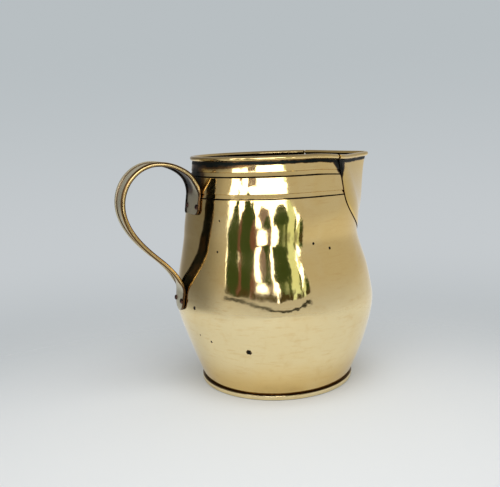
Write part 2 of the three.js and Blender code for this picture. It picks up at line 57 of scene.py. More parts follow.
def turned_about_z(vector, angle):
    return Matrix.Rotation(angle, 3, "Z") @ Vector(vector)


def make_camera():
    ahead = Vector((
        math.sin(camera_yaw) * math.cos(camera_pitch),
        math.cos(camera_yaw) * math.cos(camera_pitch),
        -math.sin(camera_pitch),
    ))
    level = Vector((math.cos(camera_yaw), -math.sin(camera_yaw), 0))
    upright = level.cross(ahead)
    right = level * math.cos(camera_roll) + upright * math.sin(camera_roll)
    up = upright * math.cos(camera_roll) - level * math.sin(camera_roll)
    axes = [turned_about_z(axis, -camera_side) for axis in (right, up, -ahead)]
    place = turned_about_z((0, -camera_distance * mm, camera_height * mm), -camera_side)
    data = bpy.data.cameras.new("camera")
    data.lens = camera_lens
    camera = bpy.data.objects.new("camera", data)
    camera.matrix_world = Matrix.Translation(place) @ Matrix(axes).transposed().to_4x4()
    scene.collection.objects.link(camera)
    scene.camera = camera


make_camera()

# Body: one shell of thin sheet brass, raised to a round belly, drawn in at the neck and hammered smooth.
# Two swaged lines stiffen the neck, its rim is rolled outwards over an iron wire, and the neck is cut
# open in front where the spout is lapped on. It was made by eye, so nothing on it is quite round or level.
sheet = 0.7
gap = 0.3
rim_height = 180
hollow_radius = 1.05
roll_radius = hollow_radius + sheet
roll_height = rim_height - roll_radius
roll_offset = 0.4
foot_radius = 58.7
belly_radius = 79
belly_height = 66
waist_radius = 69.2
waist_height = 120
mouth_radius = 61.2
foot_slope = 0.42
waist_slope = -0.03
mouth_slope = -0.2
foot_pull_share = 0.48
belly_under_pull_share = 0.22
belly_over_pull_share = 0.26
waist_under_pull_share = 0.26
waist_over_pull_share = 0.35
mouth_pull_share = 0.26
foot_bottom = 1.1
groove_heights = (150.1, 165.5)
groove_width = 0.9
groove_depth = 0.6
groove_side_share = 0.6
strip_height = 3.2
strip_step = 0.55
step_rise = 0.3
spout_turn = math.radians(-12)
spout_lap_angle = math.radians(47.8)
spout_side_height = 153.5
spout_point_height = 112
outline_power = 1.3
pour_angle = math.radians(32)
pour_point_rise = 14
rim_joint_angle = math.radians(1)
turn_steps = 192
roll_steps = 16
wall_spacing = 2
beyond = 6
merge_distance = 0.001


def bezier(points, share):
    start, leave, arrive, end = (np.array(point, float) for point in points)
    rest = 1 - share
    return start * rest**3 + 3 * leave * rest**2 * share + 3 * arrive * rest * share**2 + end * share**3


def profile_piece(low, high, low_slope, high_slope, low_pull_share, high_pull_share):
    low_pull = (high[1] - low[1]) * low_pull_share
    high_pull = (high[1] - low[1]) * high_pull_share
    return (
        low,
        (low[0] + low_slope * low_pull, low[1] + low_pull),
        (high[0] - high_slope * high_pull, high[1] - high_pull),
        high,
    )


foot_point = (foot_radius, foot_bottom)
belly_point = (belly_radius, belly_height)
waist_point = (waist_radius, waist_height)
mouth_point = (mouth_radius, roll_height)
profile = (
    profile_piece(foot_point, belly_point, foot_slope, 0, foot_pull_share, belly_under_pull_share),
    profile_piece(belly_point, waist_point, 0, waist_slope, belly_over_pull_share, waist_under_pull_share),
    profile_piece(
        waist_point, mouth_point, waist_slope, mouth_slope, waist_over_pull_share, mouth_pull_share,
    ),
)
profile_steps = 400
profile_points = np.array([
    bezier(piece, share) for piece in profile for share in np.linspace(0, 1, profile_steps)
])


def body_radius(height):
    return float(np.interp(height, profile_points[:, 1], profile_points[:, 0]))


def arc(centre, radius, start, end, steps):
    angles = np.linspace(start, end, steps + 1)
    return [(centre[0] + radius * math.cos(turn), centre[1] + radius * math.sin(turn)) for turn in angles]


def rolled_edge(offset, radius):
    """The section of a sheet curled over a wire, from its smooth face round to its slot face."""
    hollow = radius - sheet

    def angle_at(height, reach):
        return math.asin(max(-1, min(1, height / reach)))

    start = math.pi + angle_at(sheet / 2 + offset, radius)
    end = 3 * math.pi - angle_at(sheet / 2 - offset + gap, hollow)
    finish = math.pi - angle_at(sheet / 2 - offset, hollow)
    return arc((0, 0), radius, start, end, 2 * roll_steps) + arc((0, 0), hollow, end, finish, roll_steps)


def clear_of_grooves(height):
    return all(
        height < groove - groove_width or height > groove + strip_height + groove_width
        for groove in groove_heights
    )


def wall_stations():
    """Heights up the wall with how far each is pressed in, closer together at the swaged lines."""
    half = groove_width / 2
    side_depth = groove_depth * groove_side_share
    plain = np.arange(foot_bottom + wall_spacing, roll_height - roll_radius, wall_spacing)
    stations = [(z, 0) for z in plain if clear_of_grooves(z)]
    for groove in groove_heights:
        stations += [(groove - half, 0), (groove - half / 2, side_depth), (groove, groove_depth)]
        stations += [(groove + half / 2, side_depth), (groove + half, 0)]
        stations += [(groove + strip_height / 2, strip_step / 2), (groove + strip_height, strip_step)]
        stations += [(groove + strip_height + step_rise, 0)]
    return sorted(stations)


def body_outline():
    wall = wall_stations()
    outer = [(body_radius(z) - sink, z) for z, sink in wall]
    inner = [(body_radius(z) - sheet - (sink if sink > strip_step else 0), z) for z, sink in wall]
    centre = (mouth_radius - sheet / 2 + roll_offset, roll_height)
    roll = [(centre[0] + y, centre[1] + x) for x, y in rolled_edge(roll_offset, roll_radius)]
    foot = [(foot_radius, foot_bottom), (foot_radius - sheet, foot_bottom)]
    return inner + roll + outer[::-1] + foot


def node_group(name, sockets, output):
    """A new tree of geometry nodes: its named inputs, a way to add a node, and a way to finish it."""
    tree = bpy.data.node_groups.new(name, "GeometryNodeTree")
    for label, kind in sockets.items():
        tree.interface.new_socket(label, in_out="INPUT", socket_type="NodeSocket" + kind)
    tree.interface.new_socket(output, in_out="OUTPUT", socket_type="NodeSocketGeometry")
    entry = tree.nodes.new("NodeGroupInput")

    def add(kind, links, **settings):
        made = tree.nodes.new(kind)
        for setting, value in settings.items():
            setattr(made, setting, value)
        for place, value in links.items():
            if isinstance(value, bpy.types.NodeSocket):
                tree.links.new(value, made.inputs[place])
            else:
                made.inputs[place].default_value = value
        return made

    def finish(skin):
        real = add("GeometryNodeRealizeInstances", {"Geometry": skin}).outputs["Geometry"]
        links = {"Geometry": real, "Material": entry.outputs["Material"]}
        add("NodeGroupOutput", {output: add("GeometryNodeSetMaterial", links).outputs["Geometry"]})
        return tree

    return entry.outputs, add, finish


def turning_tree():
    """Turns an outline round the upright axis, as on a wheel, and closes it where it meets the axis."""
    sockets = {"Outline": "Geometry", "Sides": "Int", "Core Radius": "Float", "Material": "Material"}
    entry, add, finish = node_group("turned_on_a_wheel", sockets, "Turned")
    line = add("GeometryNodeMeshToCurve", {"Mesh": entry["Outline"]}).outputs["Curve"]
    links = {"Resolution": entry["Sides"], "Radius": entry["Core Radius"]}
    wheel = add("GeometryNodeCurvePrimitiveCircle", links).outputs["Curve"]
    level = add("GeometryNodeSetCurveNormal", {"Curve": wheel}, mode="Z_UP").outputs["Curve"]
    skin = add("GeometryNodeCurveToMesh", {"Curve": level, "Profile Curve": line}).outputs["Mesh"]
    links = {"Geometry": skin, "Distance": merge_distance * mm}
    return finish(add("GeometryNodeMergeByDistance", links).outputs["Geometry"])


def shown_object(name, mesh):
    thing = bpy.data.objects.new(name, mesh)
    scene.collection.objects.link(thing)
    return thing


def applied(thing):
    """The object's modifiers made part of its mesh."""
    graph = bpy.context.evaluated_depsgraph_get()
    mesh = bpy.data.meshes.new_from_object(thing.evaluated_get(graph))
    thing.modifiers.clear()
    thing.data = mesh
    return thing


def facing_out(mesh):
    form = bmesh.new()
    form.from_mesh(mesh)
    bmesh.ops.remove_doubles(form, verts=form.verts, dist=merge_distance * mm)
    bmesh.ops.recalc_face_normals(form, faces=form.faces)
    form.to_mesh(mesh)
    form.free()


def made_by_nodes(name, points, closed, tree, settings):
    """A line of points handed to a tree of nodes, and the tree's result kept as a plain mesh."""
    count = len(points)
    edges = [(i, (i + 1) % count) for i in range(count if closed else count - 1)]
    mesh = bpy.data.meshes.new(name)
    mesh.from_pydata([tuple(np.asarray(point, float) * mm) for point in points], edges, [])
    thing = shown_object(name, mesh)
    build = thing.modifiers.new("build", "NODES")
    build.node_group = tree
    for item in tree.interface.items_tree:
        if item.name in settings:
            build[item.identifier] = settings[item.name]
    applied(thing)
    facing_out(thing.data)
    return thing


turned_on_a_wheel = turning_tree()
core_radius = 0.2


def turned(name, outline, material, closed=True, sides=turn_steps):
    line = [(r - core_radius, -z, 0) for r, z in outline]
    settings = {"Sides": sides, "Core Radius": core_radius * mm, "Material": material}
    return made_by_nodes(name, line, closed, turned_on_a_wheel, settings)


def marked(mesh, label, values):
    mesh.attributes.new(label, "FLOAT", "POINT").data.foreach_set("value", values)


def loft(name, rings, material=None, **looks):
    """A skin through rings of points, capped at both ends, with its looks written point by point."""
    count = len(rings[0])
    total = len(rings)
    faces = []
    for ring in range(total - 1):
        here = ring * count
        there = here + count
        for i in range(count):
            after = (i + 1) % count
            faces.append((here + i, here + after, there + after, there + i))
    faces.append(tuple(range(count)))
    faces.append(tuple(range((total - 1) * count, total * count)))
    mesh = bpy.data.meshes.new(name)
    mesh.from_pydata([tuple(np.asarray(point, float) * mm) for ring in rings for point in ring], [], faces)
    for label, values in looks.items():
        marked(mesh, label, values)
    if material:
        mesh.materials.append(material)
    facing_out(mesh)
    return shown_object(name, mesh)


def cut_away(thing, tool):
    tool.data.transform(Matrix.Rotation(spout_turn, 4, "Z"))
    cut = thing.modifiers.new("cut", "BOOLEAN")
    cut.operation = "DIFFERENCE"
    cut.solver = "EXACT"
    cut.object = tool
    applied(thing)
    bpy.data.objects.remove(tool)


def outline_angle(height, top_angle=spout_lap_angle, point_height=spout_point_height):
    share = max(0, spout_side_height - height) / (spout_side_height - point_height)
    return top_angle * math.cos(math.pi / 2 * min(1, share) ** outline_power)


pour_rows = 24


def pour_cutter():
    """A prism with the outline of the opening behind the spout."""
    point_height = spout_point_height + pour_point_rise
    heights = np.linspace(point_height, spout_side_height, pour_rows)
    side = [(body_radius(z) * math.sin(outline_angle(z, pour_angle, point_height)), z) for z in heights]
    right = side + [(side[-1][0], rim_height + beyond)]
    outline = right + [(-y, z) for y, z in right[:0:-1]]
    depth = max(belly_radius, waist_radius) + beyond
    return loft("pour_cutter", [[(x, y, z) for y, z in outline] for x in (0, depth)])


def rim_cutter():
    """A wedge that ends the body's rolled rim beside the spout's own rim."""
    reach = belly_radius + beyond
    spread = reach * math.tan(spout_lap_angle + rim_joint_angle)
    corners = [(0, 0), (reach, -spread), (reach, spread)]
    heights = (roll_height - roll_radius - gap, rim_height + beyond)
    return loft("rim_cutter", [[(x, y, z) for x, y in corners] for z in heights])


def smoothstep(value, low, high):
    share = max(0, min(1, (value - low) / (high - low)))
    return share * share * (3 - 2 * share)


def blend(first, second, share):
    return first + (second - first) * share


def hump(value, centre, half_width):
    away = abs(value - centre) / half_width
    return math.cos(math.pi / 2 * away) ** 2 if away < 1 else 0


# Each lean and each swell has its middle height, its half height and its depth.
lean_way = math.radians(-24)
leans = ((116, 28, -1.75), (88, 24, -0.5), (28, 44, 1.05), (168, 16, 0.45))
swells = ((93, 24, 0.6), (122, 18, -0.35), (44, 26, -0.5), (168, 16, -0.45))
swell_core = 30
grip_near, grip_far = 5, 24
sag_depth = 2.3
sag_low, sag_high = 132, 172
sag_start, sag_full, sag_end = math.radians(-85), math.radians(-45), math.radians(50)


def worked(point):
    """Where the maker's hammer left a point: leaning, swelling, and low at the rim by the spout."""
    x, y, z = point
    radius = math.hypot(x, y)
    angle = math.atan2(y, x)
    held = 1 - smoothstep(radius - body_radius(z), grip_near, grip_far)
    lean = held * sum(depth * hump(z, centre, half) for centre, half, depth in leans)
    swell = held * sum(depth * hump(z, centre, half) for centre, half, depth in swells)
    swell *= smoothstep(radius, 0, swell_core)
    sag = smoothstep(angle, sag_start, sag_full) * (1 - smoothstep(angle, sag_full, sag_end))
    sag *= sag_depth * smoothstep(z, sag_low, sag_high)
    return (
        x + lean * math.cos(lean_way) + swell * math.cos(angle),
        y + lean * math.sin(lean_way) + swell * math.sin(angle),
        z - sag,
    )


def stained(thing, rule):
    """Writes how dark each point is, from tarnish and from painted shade, from 0 for clean brass to 1 for
    black, as an attribute.
    """
    values = [rule(*(corner / mm for corner in vertex.co)) for vertex in thing.data.vertices]
    marked(thing.data, "stain", values)


sharp_angle = math.radians(32)


def hand_finished(thing, edge_angle=sharp_angle):
    """The maker's unevenness put into the mesh, and its faces smoothed but for the true edges."""
    marked(thing.data, "level", [vertex.co.z for vertex in thing.data.vertices])
    for vertex in thing.data.vertices:
        vertex.co = Vector(worked(vertex.co / mm)) * mm
    thing.data.shade_smooth()
    thing.data.set_sharp_from_angle(angle=edge_angle)


class Finish:
    """A material or world under construction: nodes are added by kind, with values or links plugged in."""

    def __init__(self, owner):
        owner.use_nodes = True
        self.owner = owner
        self.tree = owner.node_tree
        self.tree.nodes.clear()

    def plug(self, made, place, value):
        if isinstance(value, bpy.types.NodeSocket):
            self.tree.links.new(value, made.inputs[place])
        else:
            made.inputs[place].default_value = value

    def node(self, kind, inputs=(), **settings):
        made = self.tree.nodes.new("ShaderNode" + kind)
        for setting, value in settings.items():
            setattr(made, setting, value)
        for place, value in dict(inputs).items():
            self.plug(made, place, value)
        return made

    def place(self):
        return self.node("TexCoord").outputs["Object"]

    def written(self, label):
        return self.node("Attribute", attribute_name=label).outputs["Fac"]

    def math(self, operation, *values):
        return self.node("Math", dict(enumerate(values)), operation=operation).outputs[0]

    def times(self, *values):
        return self.math("MULTIPLY", *values)

    def minus(self, *values):
        return self.math("SUBTRACT", *values)

    def most(self, *values):
        return self.math("MAXIMUM", *values)

    def absolute(self, value):
        return self.math("ABSOLUTE", value)

    def scaled_sum(self, value, scale, rest):
        return self.math("MULTIPLY_ADD", value, scale, rest)

    def distance(self, place, centre):
        return self.node("VectorMath", {0: place, 1: tuple(centre)}, operation="DISTANCE").outputs["Value"]

    def scaled(self, vector, scale):
        return self.node("VectorMath", {0: vector, 1: scale}, operation="MULTIPLY").outputs[0]

    def ramp(self, value, low, high, low_result=0.0, high_result=1.0):
        inputs = {0: value, 1: low, 2: high, 3: low_result, 4: high_result}
        return self.node("MapRange", inputs, interpolation_type="SMOOTHSTEP").outputs[0]

    def noise(self, vector, size, detail=3.0, roughness=0.5, distortion=0.0):
        inputs = {
            "Vector": vector, "Scale": 1 / (size * mm), "Detail": detail,
            "Roughness": roughness, "Distortion": distortion,
        }
        return self.node("TexNoise", inputs).outputs["Fac"]

    def mix(self, share, first, second):
        made = self.node("Mix", data_type="RGBA")
        for place, value in ((0, share), (6, first), (7, second)):
            self.plug(made, place, value)
        return made.outputs[2]

    def finished(self, shader, output="OutputMaterial"):
        self.node(output, {"Surface": shader})
        return self.owner

    def metal(self, colour, metallic, rough, relief, depth):
        bump = self.node("Bump", {"Height": relief, "Distance": depth * mm, "Strength": 1.0})
        return self.finished(self.node("BsdfPrincipled", {
            "Base Color": colour, "Metallic": metallic, "Roughness": rough, "Normal": bump.outputs[0],
        }).outputs[0])


deep_brass = (0.80, 0.58, 0.24, 1)
pale_brass = (0.88, 0.73, 0.42, 1)
red_brass = (0.70, 0.45, 0.17, 1)
dull_brass = (0.56, 0.52, 0.37, 1)
brown_tarnish_and_shade = (0.11, 0.055, 0.020, 1)
black_grime_and_shade = (0.012, 0.015, 0.013, 1)
patch_size = 34
mottle_size = 7
grain_size = 0.8
dent_size = 30
ripple_size = 8
rubbed_length = 14
rubbed_flatness = 6
crevice_reach = 1.6
dent_depth = 1


def on_body(angle, height):
    """A place on the body's outer face from its angle about Z and its height."""
    radius = body_radius(height)
    return Vector(worked((radius * math.cos(angle), radius * math.sin(angle), height))) * mm


pits = [
    (on_body(math.radians(angle), height), radius)
    for angle, height, radius in (
        (-129.8, 41.3, 2.5), (-162.6, 70.0, 1.7), (-153.6, 45.6, 1.2), (-162.2, 48.7, 0.8),
        (-146.9, 135, 0.9), (-147.0, 112.8, 1.0), (-87.7, 117.4, 1.2), (-76.5, 112.6, 1.3),
    )
]


def brass(
    name, bands=(), marks=(), sheen_heights=None, deep=deep_brass, pale=pale_brass,
    dullness=0.0, crevice=crevice_reach, wobble=dent_depth, mottling=mottle_size,
):
    """Polished old brass: patches of colour, rubbed streaks, dents, and tarnish with painted shade in every
    crevice.
    """
    make = Finish(bpy.data.materials.new(name))
    place = make.place()
    height = make.written("level")
    patches = make.noise(place, patch_size, detail=4, distortion=0.6)
    mottle = make.noise(place, mottling, detail=5, roughness=0.6)
    grain = make.noise(place, grain_size, detail=4, roughness=0.7)
    flattened = make.scaled(place, (1, 1, rubbed_flatness))
    rubbed = make.noise(flattened, rubbed_length, detail=5, roughness=0.65)

    paler = make.ramp(patches, 0.35, 0.7, 0.0, 0.3)
    # Painted sheen: between the four heights the brass is painted paler, in patches, where the lower belly
    # mirrors bright light.
    if sheen_heights:
        low, low_full, high_full, high = (z * mm for z in sheen_heights)
        lower_belly_sheen = make.times(make.ramp(height, low, low_full), make.ramp(height, high, high_full))
        paler = make.most(paler, make.times(lower_belly_sheen, make.ramp(patches, 0.2, 0.6, 0.7, 1.0)))
    colour = make.mix(paler, deep, pale)
    colour = make.mix(make.ramp(mottle, 0.5, 0.85, 0.0, 0.35), colour, red_brass)
    colour = make.mix(make.ramp(rubbed, 0.5, 0.8, 0.0, 0.5), colour, red_brass)
    dull = make.written("dull")
    colour = make.mix(make.times(dull, make.ramp(mottle, 0.3, 0.6, 0.75, 1.0)), colour, dull_brass)

    # The written darkening holds tarnish and painted shade alike.
    stain = make.written("stain")
    grime_and_shade = make.times(stain, make.ramp(mottle, 0.3, 0.6, 0.8, 1.1))
    # Painted shade: ambient occlusion darkens whatever lies shut in, in every crevice, along with its
    # tarnish.
    if crevice:
        edge = make.node("AmbientOcclusion", {"Distance": crevice * mm}, samples=8)
        shut = make.ramp(edge.outputs["AO"], 0.75, 0.25)
        grime_and_shade = make.most(grime_and_shade, make.times(shut, make.ramp(mottle, 0.25, 0.6, 0.55, 1.0)))
    for middle, half_width, strength in bands:
        away = make.absolute(make.minus(height, middle * mm))
        ragged = make.scaled_sum(make.minus(mottle, 0.5), half_width * mm, away)
        grime_and_shade = make.most(grime_and_shade, make.ramp(ragged, half_width * mm, half_width * mm / 3, 0.0, strength))
    for centre, radius in marks:
        ragged = make.scaled_sum(make.minus(grain, 0.5), radius * mm, make.distance(place, centre))
        grime_and_shade = make.most(grime_and_shade, make.ramp(ragged, radius * mm, radius * mm / 2, 0.0, 0.95))
    colour = make.mix(make.ramp(grime_and_shade, 0.0, 0.5), colour, brown_tarnish_and_shade)
    colour = make.mix(make.ramp(grime_and_shade, 0.5, 1.0), colour, black_grime_and_shade)

    rough = make.ramp(patches, 0.3, 0.75, 0.05 + dullness, 0.12 + dullness)
    rough = make.scaled_sum(make.ramp(grain, 0.5, 0.8), 0.02, rough)
    rough = make.scaled_sum(make.ramp(rubbed, 0.5, 0.7), 0.03, rough)
    rough = make.most(rough, make.times(grime_and_shade, 0.5))
    rough = make.most(rough, make.times(dull, 0.32))
    dents = make.noise(place, dent_size, detail=1)
    ripples = make.noise(place, ripple_size, detail=2)
    relief = make.scaled_sum(ripples, 0.06, make.times(dents, 0.4))
    relief = make.scaled_sum(grain, 0.0012, relief)
    relief = make.scaled_sum(grime_and_shade, -0.03, relief)
    return make.metal(colour, make.scaled_sum(dull, -0.35, 1.0), rough, relief, wobble)


# A dark patch has its middle angle and height, its half width and its half height. A band of darkening has
# its middle height, its half height and its strength.
body_dent_depth = 1.5
# The inside and the inner side of each rim roll are darkened by tarnish and painted shade.
inside_stain = 0.55
rim_inside_stain = 0.2
roll_fade = 0.9
foot_seam = (3.7, 0.45, 0.9)
# Heights of the lower belly's painted sheen.
belly_sheen_heights = (8, 34, 64, 100)
# Dark patches: tarnish with painted shade and reflection on the neck behind the handle's top, painted
# shadow under the rim roll on the handle's side, and painted contact shade low on the foot.
handle_tarnish_and_shade = (math.radians(-180), 161, 21, 17)
rim_shadow_patch = (math.radians(-160), 176, 50, 5.5)
foot_shade_patch = (math.radians(-113), 7, 26, 9)
foot_shade_share = 0.1
# The wedge is a painted dark reflection in the corner between the neck and the spout, widening towards the
# rim.
wedge_width = 8.5
wedge_top, wedge_bottom = 178, 161
wedge_soft = 1.2
patch_core_share, patch_end_share = 0.4, 1.15
inner_face_share = 0.9


def dark_patch(angle, height, patch):
    """Darkness of one soft patch."""
    middle, level, half_width, half_height = patch
    across = (angle - middle) * body_radius(height) / half_width
    away = math.hypot(across, (height - level) / half_height)
    return 1 - smoothstep(away, patch_core_share, patch_end_share)


def spout_edge_distance(angle, height):
    """How far a place on the neck or the spout lies inside the spout's outline."""
    if height < spout_point_height:
        return height - spout_point_height - abs(angle) * body_radius(height)
    return (outline_angle(height) - abs(angle)) * body_radius(height)


def roll_stain(outwards):
    """The side of a rolled rim that faces into the jug is darkened like the inside, by tarnish and painted
    shade.
    """
    return rim_inside_stain * smoothstep(-outwards, -roll_fade, roll_fade)


def body_stain(x, y, z):
    radius = math.hypot(x, y)
    if z > roll_height - roll_radius:
        return roll_stain(radius - (mouth_radius - sheet / 2 + roll_offset))
    if radius < body_radius(z) - sheet * inner_face_share:
        return inside_stain
    angle = math.atan2(y, x)
    round_angle = angle - 2 * math.pi if angle > 0 else angle
    # Painted dark reflection of the wedge beside the spout's edge.
    outside = -spout_edge_distance(angle - spout_turn, z)
    width = wedge_width * smoothstep(z, wedge_bottom, wedge_top)
    wedge = 1 - smoothstep(outside, width - wedge_soft, width + wedge_soft)
    wedge *= smoothstep(width, 0, wedge_soft)
    # Painted shade with tarnish behind the handle, painted shadow under the rim and painted contact shade
    # at the foot.
    plate = max(dark_patch(round_angle, z, handle_tarnish_and_shade), dark_patch(round_angle, z, rim_shadow_patch))
    return max(plate, foot_shade_share * dark_patch(round_angle, z, foot_shade_patch), wedge)


# Bands: painted shadow under the rim roll, a darker rim top, a dark band along each groove, and painted
# dark reflection along the step atop each swaged strip.
under_rim = (175.2, 1.8, 1.1)
rim_top = (rim_height, 3.2, 0.2)
groove_darkening = (0.7, 0.95)
step_shade = (0.4, 0.15)
body_bands = [under_rim, rim_top, foot_seam]
for groove in groove_heights:
    body_bands += [(groove, *groove_darkening), (groove + strip_height + step_rise, *step_shade)]
body_brass = brass("body_brass", body_bands, pits, belly_sheen_heights, wobble=body_dent_depth)
body = turned("jug_body", body_outline(), body_brass)
cut_away(body, pour_cutter())
cut_away(body, rim_cutter())
stained(body, body_stain)
hand_finished(body)
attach(body, "root")
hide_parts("body")

# Spout: a sheet cut to a shield, folded to a ridge in front and lapped round the neck on both sides.
# Its edge is filed thin and soldered down, and its own rim is rolled over a wire like the body's.
spout_reach = 78.6
ridge_top_slope = 0.37
ridge_top_pull = 12.5
chin_bulge = 5.6
chin_rise = 31
nose_radius = 3
swell_share = 0.9
spout_half_columns = 48
spout_rows = 44
column_power = 1.6
row_power = 1.5
filed_width = 2.5
filed_share = 0.3
full_under_rim = 6
dark_edge = 0.4
low_edge_stain = 0.6
spout_dent_depth = 0.7
spout_deep_brass = (0.79, 0.56, 0.19, 1)
spout_pale_brass = (0.83, 0.64, 0.30, 1)
chin_seat = body_radius(spout_point_height) + gap
ridge_curve = (
    (chin_seat, spout_point_height),
    (chin_seat + chin_bulge, spout_point_height + chin_rise),
    (spout_reach - ridge_top_slope * ridge_top_pull, roll_height - ridge_top_pull),
    (spout_reach, roll_height),
)
ridge_points = np.array([bezier(ridge_curve, share) for share in np.linspace(0, 1, profile_steps)])


def spout_inner(angle, height):
    level = min(height, roll_height)
    seat = body_radius(level) + gap
    ridge = max(float(np.interp(level, ridge_points[:, 1], ridge_points[:, 0])), seat)
    tangent = math.acos(seat / ridge)
    width = min(tangent, outline_angle(height) * swell_share)
    soft = nose_radius / spout_reach

    def rounded(value):
        return math.sqrt(value * value + soft * soft) - soft

    share = min(1, rounded(angle) / rounded(width)) if width > 0 else 1
    rise = 1 / math.cos(tangent) - 1
    bulge = (1 / math.cos(tangent * (1 - share)) - 1) / rise if rise > 0 else 0
    radius = seat + (ridge - seat) * bulge
    return np.array((radius * math.cos(angle), radius * math.sin(angle), height))


def spout_normal(angle, height):
    small = spout_lap_angle / profile_steps
    along = spout_inner(angle + small, height) - spout_inner(angle - small, height)
    normal = np.array((along[1], -along[0], 0))
    return normal / np.linalg.norm(normal)


def outline_height(angle):
    share = math.acos(min(1, abs(angle) / spout_lap_angle)) / (math.pi / 2)
    return spout_side_height - (spout_side_height - spout_point_height) * share ** (1 / outline_power)


def from_spout_edge(angle, height):
    up = height - outline_height(angle)
    across = spout_edge_distance(angle, height)
    return across if height > spout_side_height else min(up, across)


def spout_column(angle):
    """One upright line of the spout, up its inner face, over the roll and down outside, with its stains and
    painted shade.
    """
    low = outline_height(angle)
    high = roll_height - roll_radius
    heights = [low + (high - low) * share**row_power for share in np.linspace(0, 1, spout_rows + 1)]
    inner = [spout_inner(angle, z) for z in heights]
    outer = []
    outer_stains = []
    for point, z in zip(inner, heights):
        edge = from_spout_edge(angle, z)
        full = max(smoothstep(edge, 0, filed_width), smoothstep(z, high - full_under_rim, high))
        outer.append(point + spout_normal(angle, z) * sheet * blend(filed_share, 1, full))
        # The spout's edge has a dark joint line, widening by the rim into the painted dark reflection of
        # the wedge.
        width = wedge_width * smoothstep(z, wedge_bottom, wedge_top)
        dark = blend(low_edge_stain, 1, smoothstep(z, spout_side_height, wedge_bottom))
        outer_stains.append(dark * (1 - smoothstep(edge, width, width + dark_edge)))
    normal = spout_normal(angle, roll_height)
    middle = spout_inner(angle, roll_height) + normal * (sheet / 2 + roll_offset)
    roll = [middle + normal * y + np.array((0, 0, x)) for x, y in rolled_edge(roll_offset, roll_radius)]
    roll_stains = [roll_stain(outwards) for _, outwards in rolled_edge(roll_offset, roll_radius)]
    stains = [inside_stain] * len(inner) + roll_stains + outer_stains[::-1]
    points = [turned_about_z(point, spout_turn) for point in inner + roll + outer[::-1]]
    return points, stains


def spout_angles():
    shares = [1 - ((i + 1) / spout_half_columns) ** column_power for i in range(spout_half_columns)]
    drop = spout_side_height - spout_point_height
    half = [outline_angle(spout_side_height - drop * share) for share in shares]
    return [-angle for angle in half[::-1]] + [0] + half


spout_brass = brass(
    "spout_brass", [under_rim, rim_top], deep=spout_deep_brass, pale=spout_pale_brass,
    wobble=spout_dent_depth,
)
spout_columns = [spout_column(angle) for angle in spout_angles()]
spout_stains = [stain for _, stains in spout_columns for stain in stains]
spout = loft("pouring_spout", [points for points, _ in spout_columns], spout_brass, stain=spout_stains)
hand_finished(spout)
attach(spout, "root")
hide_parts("spout")

# Base: a disc of thicker sheet whose edge is turned up round the foot and hammered down over its hem.
# It shows as a rounded ring with a dark seam above it, its brass painted paler than the body's as a painted
# sheen of the bright floor it mirrors.
base_sheet = 0.8
foot_grip = 0.4
hem_top = foot_bottom + 2 * sheet
ring_height = hem_top + gap + base_sheet
corner_steps = 8
ring_steps = 24
base_seam = (ring_height, 0.35, 0.6)
base_crevice_reach = 0.7
base_sheen_brass = (0.96, 0.86, 0.62, 1)


def base_outline():
    lip_radius = body_radius(ring_height) + gap
    wall_radius = lip_radius + foot_grip + gap
    ring_radius = wall_radius + base_sheet
    turn_radius = ring_radius - base_sheet
    flat = [(r, 0) for r in np.linspace(0, turn_radius, ring_steps, endpoint=False)]
    inside = [(r, base_sheet) for r in np.linspace(wall_radius, 0, ring_steps)]
    return (
        flat
        + arc((turn_radius, base_sheet), base_sheet, -math.pi / 2, 0, corner_steps)
        + arc((turn_radius, ring_height - base_sheet), base_sheet, 0, math.pi / 2, corner_steps)
        + [(lip_radius, ring_height), (lip_radius, ring_height - base_sheet)]
        + [(wall_radius, ring_height - base_sheet)]
        + inside
    )


def base_stain(x, y, z):
    inside = z > base_sheet / 2 and math.hypot(x, y) < foot_radius - sheet
    return inside_stain if inside else 0


# Painted sheen: the base takes paler brass than the body.
base_brass = brass(
    "base_brass", [base_seam], deep=pale_brass, pale=base_sheen_brass, dullness=0.06,
    crevice=base_crevice_reach,
)
base = turned("jug_base", base_outline(), base_brass, closed=False)
stained(base, base_stain)
hand_finished(base)
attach(base, "root")
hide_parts("base_plate")

# Handle: one strap of sheet brass, both long edges rolled over wires, bent to a loop and leaning a little.
# Its rolls are hammered flat at the ends, which are rounded and riveted to the neck and to the belly.
# Its face has gone grey green and its hollow side dark with tarnish and painted shade; the rolls are
# bright, with painted shade in each crease and a painted dark reflection line along each.
handle_top = (-94.6, 176.4)
handle_side = (-120.9, 147.5)
handle_turn = (-97.2, 107.2)
turn_angle = math.radians(43)
upper_end_height = 137.8
upper_leave_height = 151
lower_leave_height = 78
lower_end_height = 64.4
upper_pull = 15
top_in_pull = 16
top_out_pull = 14
side_pull = 16
turn_over_pull = 16
turn_under_pull = 14
lower_pull = 12
upper_width = 27.3
lower_width = 17.5
taper_power = 3
upper_lean = 4.8
lower_lean = 1.4
upper_corner = 4
lower_corner = 7
upper_plate_length = 14
lower_plate_length = 17
opening_length = 8
wrap_fade = 14
flat_roll_radius = 0.9
upper_stand_off = gap + sheet / 2
lower_stand_off = gap + 2 * flat_roll_radius - sheet / 2
loop_steps = 60
seat_steps = 24
web_steps = 16
hollow_stain = 0.9
plate_stain = 0.13
near_shade_start, near_shade_full = 22, 50
far_shade_start, far_shade_full = 12, 22
near_start_share, near_full_share = -0.2, 0.4
crease_stain = 0.6
crease_share = 0.08
dark_line_share = 0.27
hollow_start_share, hollow_full_share = 0.36, 0.5
flat_roll_stain = 0.5
roll_dull, far_roll_dull = 0.05, 0.9
strap_sharp_angle = math.radians(50)
strap_dent_depth = 0.5
strap_mottle_size = 18
handle_deep_brass = (0.55, 0.38, 0.15, 1)
handle_pale_brass = (0.70, 0.54, 0.29, 1)


